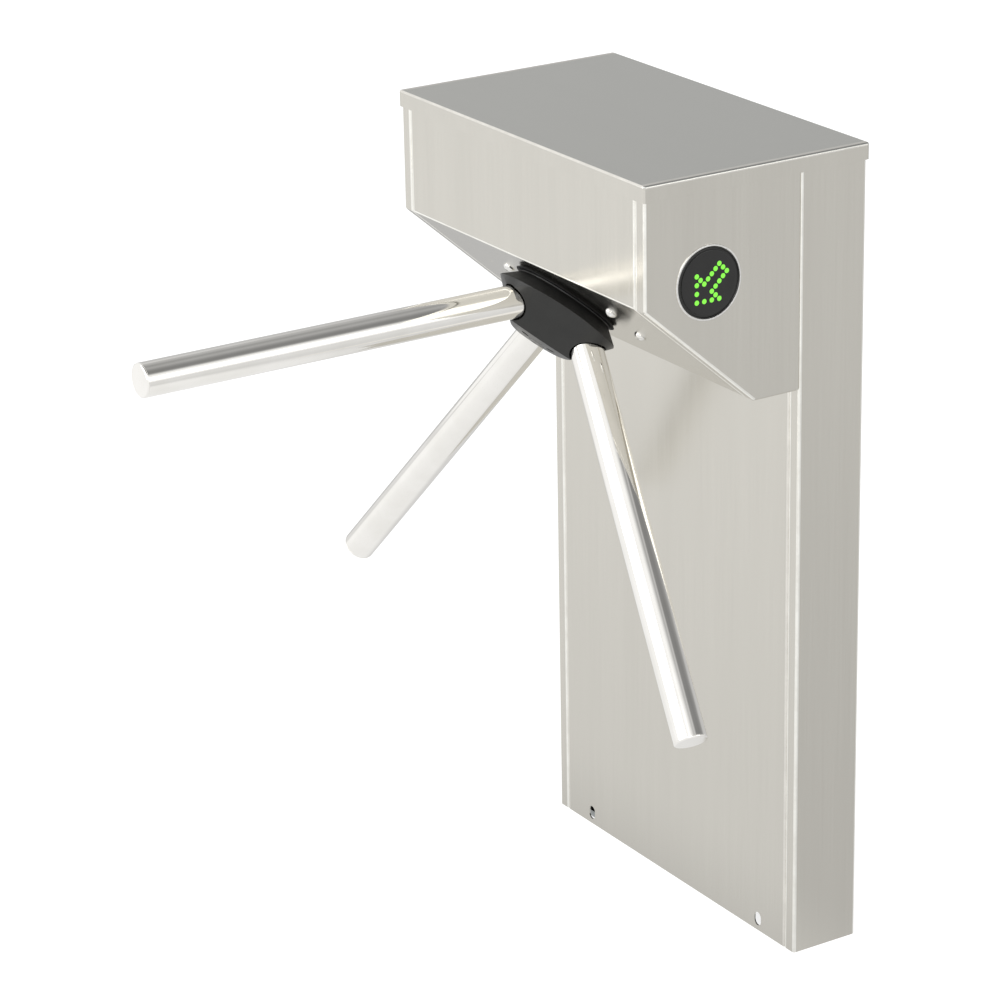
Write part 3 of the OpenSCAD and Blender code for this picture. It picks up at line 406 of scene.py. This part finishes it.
# moulded nitrile rubber: deep matt black
nitrileBlack = {"light": "#161615", "dark": "#10100f", "roughness": (0.55, 0.65), "cloudMm": 9,
                "gritMm": 0.6, "metallic": 0, "reliefStrength": 0.2, "reliefMm": 0.03, "ior": 1.45}
# copper wire under clear enamel, wound in layers: an orange sheen with a fine even rib, drawn at 1.2 mm
copperWound = {"light": "#c07b4a", "dark": "#6e3a1e", "roughness": 0.35, "pitchMm": 1.2, "metallic": 1,
               "reliefStrength": 0.6, "reliefMm": 0.2, "along": upSlope}
# moulded ABS with a fine spark-eroded skin: matt black
absBlack = {"light": "#1d1d1b", "dark": "#171716", "roughness": (0.5, 0.6), "cloudMm": 12, "gritMm": 0.6,
            "metallic": 0, "reliefStrength": 0.3, "reliefMm": 0.03, "ior": 1.5}
# smoked acrylic over black: deep grey with a wet gloss
acrylicSmoked = {"light": "#1e1e1d", "dark": "#1a1a19", "roughness": (0.08, 0.13), "cloudMm": 20,
                 "gritMm": 8, "metallic": 0, "reliefStrength": 0.02, "reliefMm": 0.01, "ior": 1.49}
# green solder mask on glass-fibre board: an even green under a clear gloss
boardLacquer = {"light": "#2f7a4c", "dark": "#23633c", "roughness": (0.3, 0.4), "cloudMm": 4, "gritMm": 0.8,
                "metallic": 0, "reliefStrength": 0.2, "reliefMm": 0.05, "ior": 1.5}
# moulded epoxy of relays and chips: grey-black, half matt
epoxyBlack = {"light": "#232325", "dark": "#1b1b1d", "roughness": (0.4, 0.5), "cloudMm": 5, "gritMm": 0.5,
              "metallic": 0, "reliefStrength": 0.1, "reliefMm": 0.02, "ior": 1.55}
# polyamide of the terminal blocks: a lighter, milky green with a dull sheen
terminalGreen = {"light": "#3f9a5b", "dark": "#338650", "roughness": (0.38, 0.46), "cloudMm": 6,
                 "gritMm": 0.6, "metallic": 0, "reliefStrength": 0.1, "reliefMm": 0.02, "ior": 1.55}
# tinned copper: small, bright, slightly frosted silver
tinBright = {"light": "#dcdcd8", "dark": "#c9c9c5", "roughness": (0.2, 0.3), "cloudMm": 2, "gritMm": 0.5,
             "metallic": 1, "reliefStrength": 0.15, "reliefMm": 0.02}
# diodes behind clear epoxy domes, switched on: a sharp yellow-green that doesn't tint what is round it
greenPoints = {"light": "#8cff4a", "dome": "#1c2a12", "roughness": 0.25, "strength": 1}

paintedHighlight = mottled("stainless bend with painted highlight", steelPaintedHighlight)
dimPaintedHighlight = mottled("stainless bend with dim painted highlight", steelDimPaintedHighlight)
copper = ringed("enamelled copper winding", copperWound)
paintedShadeCoat = mottled("powder coat darkened as painted shade", powderPaintedShade)
creaseHighlight = mottled("powder coat with painted crease highlight", powderCreaseHighlight)
nitrile = mottled("black nitrile rubber", nitrileBlack)
epoxy = mottled("black moulded epoxy", epoxyBlack)
polyamide = mottled("green polyamide", terminalGreen)
tinned = mottled("tinned copper contacts", tinBright)
panelSheet = brushedSteel("brushed stainless panel", panelBrushed)
materialOf = {
    "brushed_sheet": brushedSteel("brushed stainless sheet", sheetBrushed),
    "lid_sheet": brushedSteel("brushed stainless lid", lidBrushed),
    "polished_tube": mottled("polished stainless tube", steelPolished),
    "black_hub": mottled("black powder coat", powderCoat),
    "bright_trim": mottled("bright nickel plating", nickelBright),
    "plated_steel": mottled("zinc plating", zincPlated),
    "machined_steel": ringed("turned steel", steelTurned),
    "cast_housing": mottled("cast aluminium", aluminiumCast),
    "gear_brass": mottled("machined brass", brassCut),
    "damper_case": mottled("dark enamel", enamelDark),
    "solenoid_case": mottled("black stoved enamel", enamelBlack),
    "lamp_housing": mottled("black ABS", absBlack),
    "lamp_face": mottled("smoked acrylic", acrylicSmoked),
    "lamp_green": litPoints("green light points", greenPoints),
    "board": mottled("green board lacquer", boardLacquer),
    "supply_case": mottled("folded aluminium", aluminiumFolded),
}
for name, node in nodes.items():
    node.data.materials.clear()
    node.data.materials.append(materialOf[slotOf[name]])
print("materials made:", len(bpy.data.materials))


# pieces: each is a softened copy of its CAD node
softening = {
    "joinMm": 0.001,    # points closer than this become one
    "flatWithin": 1,    # degrees between triangles that become one face
    "edgeFrom": 30,     # an edge that turns further than this, in degrees, is softened
    "sharpFrom": 35,    # an edge that turns further than this, in degrees, stays crisp in the shading
    "cutMm": 0.0001,    # a cut goes through points closer to it than this
}


def mergedCopy(name):
    shape = bmesh.new()
    shape.from_mesh(nodes[name].data)
    bmesh.ops.remove_doubles(shape, verts=shape.verts, dist=softening["joinMm"] * mm)
    bmesh.ops.dissolve_limit(shape, angle_limit=math.radians(softening["flatWithin"]),
                             verts=shape.verts, edges=shape.edges)
    for face in shape.faces:
        face.material_index = 0
    return shape


def softenEdges(shape, widthMm, steps=2, clamp=True):
    limit = math.radians(softening["edgeFrom"])
    edges = [edge for edge in shape.edges if edge.is_manifold and edge.calc_face_angle(0) > limit]
    made = bmesh.ops.bevel(shape, geom=edges, offset=widthMm * mm, offset_type="OFFSET", segments=steps,
                           profile=0.5, affect="EDGES", clamp_overlap=clamp, material=-1)
    return made["faces"]


def finishPiece(pieceName, shape, materials, body, replaced):
    limit = math.radians(softening["sharpFrom"])
    for face in shape.faces:
        face.smooth = True
    for edge in shape.edges:
        edge.smooth = edge.is_manifold and edge.calc_face_angle(0) < limit
    data = bpy.data.meshes.new(pieceName)
    shape.to_mesh(data)
    shape.free()
    for material in materials:
        data.materials.append(material)
    piece = bpy.data.objects.new(pieceName, data)
    bpy.context.scene.collection.objects.link(piece)
    # keeps large flats flat beside soft edges
    evening = piece.modifiers.new("even shading", "WEIGHTED_NORMAL")
    evening.keep_sharp = True
    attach(piece, body)
    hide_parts(*replaced)


def dressNode(name, shape, *more, main=None):
    materials = [main or materialOf[slotOf[name]], *more]
    finishPiece(name + "_dressed", shape, materials, bodyOf[name], [name])


def cutAcross(shape, place, normal):
    parts = [*shape.verts, *shape.edges, *shape.faces]
    bmesh.ops.bisect_plane(shape, geom=parts, dist=softening["cutMm"] * mm, plane_co=place, plane_no=normal)


# folded sheets: brushed flats between bends painted near white as a painted highlight, and a strip of the
# same painted highlight along each seam
sheets = {
    "nodes": ("head_front_panel", "head_cheek_right", "head_cheek_left", "column_front_panel",
              "column_shell"),
    "panel": "head_front_panel",  # its strokes run across the fold to the underside
    "edgeMm": 0.4,
    "flatWithin": 5,       # a face that turns further than this from the flats, in degrees, is a bend
    "stripMm": 3.4,        # how far the painted-highlight strip reaches from the seam
    "sideStripMm": 3.8,    # the column's side gets the painted highlight this far back from its front
    "foldStripMm": 2,      # the painted highlight reaches this far above the fold between the head's front and underside
    "facing": 0.99,        # a face whose normal lies this much along a direction faces it
    "square": 0.999,       # with this much it is square to it
    "slight": 0.1,         # and with this much it leans towards it
}
flats = [Vector((1, 0, 0)), Vector((0, 1, 0)), Vector((0, 0, 1)), axis]


def dressSheet(name):
    shape = mergedCopy(name)
    isPanel = "panel" in name
    isShell = name == "column_shell"
    reaches = [abs(vertex.co.x) for vertex in shape.verts]
    strip = sheets["stripMm"] * mm
    stripX = max(reaches) - strip if isPanel else min(reaches) + strip
    for side in (1, -1):
        cutAcross(shape, (side * stripX, 0, 0), (1, 0, 0))
    stripY = min(vertex.co.y for vertex in shape.verts) + sheets["sideStripMm"] * mm
    if isShell:
        cutAcross(shape, (0, stripY, 0), (0, 1, 0))
    shape.normal_update()
    foldTop = 0
    if name == sheets["panel"]:
        front = [face for face in shape.faces if face.normal.y < -sheets["square"]]
        foldTop = min(vertex.co.z for face in front for vertex in face.verts) + sheets["foldStripMm"] * mm
        cutAcross(shape, (0, 0, foldTop), (0, 0, 1))
        shape.normal_update()
    limit = math.cos(math.radians(sheets["flatWithin"]))
    facing, slight = sheets["facing"], sheets["slight"]
    for face in shape.faces:
        middle, normal = face.calc_center_median(), face.normal
        below = normal.dot(axis) > slight and normal.y < -slight
        if abs(normal.z) > slight and not below:
            continue
        bent = max(abs(normal.dot(flat)) for flat in flats) < limit
        if below and normal.z < -slight:  # on the underside only the bends beside the seams get the painted highlight
            bent = bent and abs(normal.x) > slight
        atSeam = abs(middle.x) > stripX if isPanel else abs(middle.x) < stripX
        inFront = normal.y < -facing and (atSeam or middle.z < foldTop)
        onSide = isShell and abs(normal.x) > facing and middle.y < stripY
        # bends, the strips by the seams and above the fold, and the column's side strip get the painted
        # highlight
        if bent or inFront or onSide:
            face.material_index = 1
    softenEdges(shape, sheets["edgeMm"], clamp=False)
    dressNode(name, shape, dimPaintedHighlight if name == "column_front_panel" else paintedHighlight,
              main=panelSheet if name == sheets["panel"] else None)


for name in sheets["nodes"]:
    dressSheet(name)

# lid: the top brushed lengthways in a darker grey that is partly painted shade, the skirt like the walls,
# and its front edge and a strip above and below both long bends with the dim painted highlight
lid = {
    "edgeMm": 0.4,
    "bendMm": 2.5,
    "topStripMm": 5,
    "skirtStripMm": 1,
    "forward": 0.25,    # the front bend's normals point further forward than this
    "sideways": 0.3,    # and less to the side than this
    "facing": 0.99,
    "slight": 0.1,
}


def dressLid(setup):
    shape = mergedCopy("lid")
    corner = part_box("lid")[1]
    stripX = corner.x - (setup["bendMm"] + setup["topStripMm"]) * mm
    stripZ = corner.z - (setup["bendMm"] + setup["skirtStripMm"]) * mm
    for side in (1, -1):
        cutAcross(shape, (side * stripX, 0, 0), (1, 0, 0))
    cutAcross(shape, (0, 0, stripZ), (0, 0, 1))
    shape.normal_update()
    facing, slight = setup["facing"], setup["slight"]
    for face in shape.faces:
        middle, normal = face.calc_center_median(), face.normal
        leans = slight < abs(normal.z) < facing
        frontEdge = leans and normal.y < -setup["forward"] and abs(normal.x) < setup["sideways"]
        onTop = normal.z > facing and abs(middle.x) > stripX
        onSkirt = abs(normal.x) > facing and middle.z > stripZ
        # the front bend and the strips by both long bends get the dim painted highlight
        if frontEdge or onTop or onSkirt:
            face.material_index = 1
        # the skirt takes the walls' sheet; the rest of the top keeps the lid's darker grey with its painted
        # shade
        elif abs(normal.z) < slight:
            face.material_index = 2
    softenEdges(shape, setup["edgeMm"], clamp=False)
    dressNode("lid", shape, dimPaintedHighlight, materialOf["brushed_sheet"])


dressLid(lid)
print("sheets folded:", len(sheets["nodes"]) + 1)

# hub: one casting, darkened to matt black as painted shade where it faces the underside, with a grey
# painted highlight along the crease round the rim
hub = {
    "edgeMm": 1.5,
    "edgeSteps": 3,
    "facesBack": 0.3,    # a face that points further back along the axis than this gets the painted shade
    "rimAtMm": 30,       # where the crease lies along the axis, from where the arms' axes meet
    "rimBandMm": 7,
    "rimLean": 0.45,     # the crease's faces point less along the axis than this
}


def dressHub(setup):
    shape = mergedCopy("hub")
    shape.normal_update()
    # faces towards the underside get the painted shade
    for face in shape.faces:
        if face.normal.dot(axis) < -setup["facesBack"]:
            face.material_index = 1
    rounded = softenEdges(shape, setup["edgeMm"], steps=setup["edgeSteps"])
    shape.normal_update()
    # rounded faces along the crease get the painted highlight
    for face in rounded:
        height = (face.calc_center_median() - apex).dot(axis)
        onRim = abs(height - setup["rimAtMm"] * mm) < setup["rimBandMm"] * mm
        if onRim and abs(face.normal.dot(axis)) < setup["rimLean"]:
            face.material_index = 2
    dressNode("hub", shape, paintedShadeCoat, creaseHighlight)


dressHub(hub)
print("hub cast")

# turned and moulded outside pieces, each with the width of its soft edges in mm
outside = {
    "hub_cap": 0.3,
    "underside_screws": 0.25,
    "arm_front": 0.3,
    "arm_right": 0.3,
    "arm_left": 0.3,
    "end_cap_front": 0.2,
    "end_cap_right": 0.2,
    "end_cap_left": 0.2,
    "indicator_bezel_right": 0.2,
    "indicator_bezel_left": 0.2,
    "indicator_leds_right": 0.3,
    "indicator_leds_left": 0.3,
    "indicator_housing_right": 0.3,
    "indicator_housing_left": 0.3,
}
for name, widthMm in outside.items():
    shape = mergedCopy(name)
    softenEdges(shape, widthMm, steps=3)
    dressNode(name, shape)

# seal ring: a black ring in the hub's painted-shade black, with crisp edges
seal = {"edgeMm": 0.1}
shape = mergedCopy("seal_ring")
softenEdges(shape, seal["edgeMm"])
dressNode("seal_ring", shape, main=paintedShadeCoat)
print("outside pieces softened:", len(outside) + 1)

# indicator faces: smoked acrylic, slightly domed, inside a matt black groove
lens = {
    "nodes": {"indicator_lens_right": 1, "indicator_lens_left": -1},  # which way along X each one faces
    "edgeMm": 0.5,
    "edgeSteps": 3,
    "facing": 0.99,
    "grooveMm": 2,
    "grooveDeepMm": 1.2,
    "wallMm": 0.15,
    "shoulderMm": 0.4,
    "shoulderRiseMm": 0.2,
    "insideMm": 3,
    "domeMm": 0.3,
}


def dressLens(name, side, setup):
    shape = mergedCopy(name)
    softenEdges(shape, setup["edgeMm"], steps=setup["edgeSteps"])
    shape.normal_update()
    outward = Vector((side, 0, 0))
    facing = [face for face in shape.faces if face.normal.dot(outward) > setup["facing"]]
    front = max(facing, key=lambda face: (  # the outermost one, and the largest of those
        round(face.calc_center_median().dot(outward) / mm, 2), face.calc_area()))
    bmesh.ops.translate(shape, verts=front.verts, vec=-outward * setup["grooveDeepMm"] * mm)
    # rings from the rim inwards, each with the height by which what is inside it rises
    rings = (("grooveMm", 0),
             ("wallMm", setup["grooveDeepMm"] - setup["domeMm"] - setup["shoulderRiseMm"]),
             ("shoulderMm", setup["shoulderRiseMm"]),
             ("insideMm", setup["domeMm"]))
    for width, rise in rings:
        made = bmesh.ops.inset_region(shape, faces=[front], thickness=setup[width] * mm,
                                      use_even_offset=True)
        bmesh.ops.translate(shape, verts=front.verts, vec=outward * rise * mm)
        for face in made["faces"]:
            face.material_index = 1 if width == "grooveMm" else 0
    dressNode(name, shape, materialOf["lamp_housing"])


for name, side in lens["nodes"].items():
    dressLens(name, side, lens)
print("indicator faces set")

# the mechanism in the head, seen with the lid off, and the hidden frames, with the same widths
inside = {
    "chassis_plate": 0.5,
    "chassis_bracket_right": 0.4,
    "chassis_bracket_left": 0.4,
    "bearing_housing": 1,
    "housing_screws": 0.3,
    "rotor_shaft": 0.5,
    "hub_bolt": 0.3,
    "lock_disc": 0.4,
    "shaft_nut": 0.5,
    "damper_gear": 0.15,
    "damper_pinion": 0.15,
    "damper_body": 0.6,
    "damper_bracket": 0.4,
    "pawl_right": 0.4,
    "pawl_left": 0.4,
    "pawl_pins": 0.3,
    "plunger_right": 0.3,
    "plunger_left": 0.3,
    "solenoid_bracket_right": 0.3,
    "solenoid_bracket_left": 0.3,
    "head_bolts": 0.3,
    "board_tray": 0.2,
    "power_supply": 0.4,
}
for name, widthMm in inside.items():
    shape = mergedCopy(name)
    softenEdges(shape, widthMm)
    dressNode(name, shape)
print("inside pieces softened:", len(inside))

# bearings: bright rings with a black rubber shield sunk between them
bearings = {"nodes": ("front_bearing", "rear_bearing"), "edgeMm": 0.4, "shieldMm": (18, 28), "facing": 0.9}
for name in bearings["nodes"]:
    shape = mergedCopy(name)
    inner, outer = (edge * mm for edge in bearings["shieldMm"])
    for face in shape.faces:
        away = face.calc_center_median() - apex
        radius = (away - axis * away.dot(axis)).length
        if abs(face.normal.dot(axis)) > bearings["facing"] and inner < radius < outer:
            face.material_index = 1
    softenEdges(shape, bearings["edgeMm"])
    dressNode(name, shape, nitrile)

# solenoids: a black enamelled frame round a copper winding
solenoids = {
    "nodes": ("solenoid_right", "solenoid_left"),
    "edgeMm": 0.4,
    "windingLean": 0.2,    # the winding's faces point less up the slope than this
    "facing": 0.995,       # and are none of the frame's flats
}
for name in solenoids["nodes"]:
    shape = mergedCopy(name)
    for face in shape.faces:
        curved = max(abs(face.normal.x), abs(face.normal.dot(axis))) < solenoids["facing"]
        if curved and abs(face.normal.dot(upSlope)) < solenoids["windingLean"]:
            face.material_index = 1
    softenEdges(shape, solenoids["edgeMm"])
    dressNode(name, shape, copper)

# pawl springs: one helix of wire on each pin
springs = {"wireMm": 0.95, "wireSides": 10, "coilMm": 6.4, "turns": 4, "stepsPerTurn": 32}


def windSpring(shape, side, setup):
    pin = Vector(jointOf["pawl_right_swing" if side > 0 else "pawl_left_swing"]["pos_m"])
    corners = [vertex.co for vertex in nodes["pawl_springs"].data.vertices if vertex.co.x * side > 0]
    depths = [(corner - pin).dot(axis) for corner in corners]
    radius = setup["wireMm"] * mm
    rise = max(depths) - min(depths) - 2 * radius
    centre = pin + axis * (min(depths) + radius)
    wire = bmesh.ops.create_circle(shape, segments=setup["wireSides"], radius=radius)["verts"]
    place = centre + Vector((side, 0, 0)) * setup["coilMm"] * mm
    turn = upSlope.to_track_quat("Z", "Y").to_matrix().to_4x4()
    bmesh.ops.transform(shape, verts=wire, matrix=Matrix.Translation(place) @ turn)
    ring = [edge for edge in shape.edges if edge.verts[0] in wire and edge.verts[1] in wire]
    steps = setup["turns"] * setup["stepsPerTurn"]
    spun = bmesh.ops.spin(shape, geom=wire + ring, cent=centre, axis=axis, steps=steps,
                          angle=setup["turns"] * 2 * math.pi, dvec=axis * rise / steps)
    farEnd = [item for item in spun["geom_last"] if isinstance(item, bmesh.types.BMVert)]
    bmesh.ops.contextual_create(shape, geom=farEnd)
    bmesh.ops.contextual_create(shape, geom=wire)


shape = bmesh.new()
for side in (1, -1):
    windSpring(shape, side, springs)
bmesh.ops.recalc_face_normals(shape, faces=shape.faces)
finishPiece("pawl_springs_wound", shape, [materialOf["plated_steel"]], "pedestal",
            ["pawl_springs"])
print("mechanism dressed")

# control board: lacquered board, green terminals with screws, black relays and chips, bright small parts.
# The solid's own parts lie on a grid of steps, counted from its left and top edges
board = {
    "edgeMm": 0.3,
    "thickMm": 1.6,
    "gridSteps": 20,              # across the board's width
    "standOut": 0.01,             # a face this many steps before the board belongs to one of its parts
    "terminalSteps": 4,           # the terminals take these steps at the top
    "terminals": 6,
    "terminalFirst": 2.6,
    "terminalPitch": 3,
    "screws": (-0.6, 0, 0.6),     # steps from a terminal's middle
    "screwDown": 2,
    "screwOut": 0.9,
    "screwRadiusMm": 2,
    "screwDeepMm": 0.4,
    "screwSides": 16,
    "smallSizeMm": (2.4, 0.9, 1.3),
    "smallRows": 4,
    "smallColumns": 11,
    "smallFromLeftMm": 20,
    "smallDown": 5.6,
    "smallPitchMm": (12, 12.8),   # in the even and in the odd rows
    "rowPitchMm": 9,
    "darkEvery": 3,               # one small part in three is a black chip
}


def screwAt(shape, place, setup, materialIndex):
    radius = setup["screwRadiusMm"] * mm
    made = bmesh.ops.create_cone(shape, cap_ends=True, segments=setup["screwSides"], radius1=radius,
                                 radius2=radius, depth=setup["screwDeepMm"] * mm)["verts"]
    bmesh.ops.rotate(shape, verts=made, cent=(0, 0, 0), matrix=Matrix.Rotation(math.pi / 2, 3, "X"))
    bmesh.ops.translate(shape, verts=made, vec=place)
    paint(made, materialIndex)


def boxAt(shape, place, sizeMm, materialIndex):
    made = bmesh.ops.create_cube(shape, size=1)["verts"]
    bmesh.ops.scale(shape, verts=made, vec=Vector(sizeMm) * mm)
    bmesh.ops.translate(shape, verts=made, vec=place)
    paint(made, materialIndex)


def paint(verts, materialIndex):
    for face in {face for vertex in verts for face in vertex.link_faces}:
        face.material_index = materialIndex


def makeBoard(setup):
    low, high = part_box("control_board")
    shape = mergedCopy("control_board")
    step = (high.x - low.x) / setup["gridSteps"]
    front = high.y - setup["thickMm"] * mm  # the board's own face; its parts stand out towards -Y
    terminalsFrom = high.z - setup["terminalSteps"] * step
    for face in shape.faces:
        middle = face.calc_center_median()
        if middle.y < front - setup["standOut"] * step:
            face.material_index = 1 if middle.z > terminalsFrom else 2
    softenEdges(shape, setup["edgeMm"])
    for i in range(setup["terminals"]):
        for aside in setup["screws"]:
            x = low.x + (setup["terminalFirst"] + setup["terminalPitch"] * i + aside) * step
            place = (x, front - setup["screwOut"] * step, high.z - setup["screwDown"] * step)
            screwAt(shape, place, setup, 3)
    for row in range(setup["smallRows"]):
        for column in range(setup["smallColumns"]):
            x = low.x + (setup["smallFromLeftMm"] + column * setup["smallPitchMm"][row % 2]) * mm
            z = high.z - setup["smallDown"] * step - row * setup["rowPitchMm"] * mm
            dark = (row + column) % setup["darkEvery"] == 0
            place = (x, front - setup["smallSizeMm"][1] * mm / 2, z)
            boxAt(shape, place, setup["smallSizeMm"], 2 if dark else 3)
    finishPiece("control_board_fitted", shape, [materialOf["board"], polyamide, epoxy, tinned],
                bodyOf["control_board"], ["control_board"])


makeBoard(board)
print("board fitted")
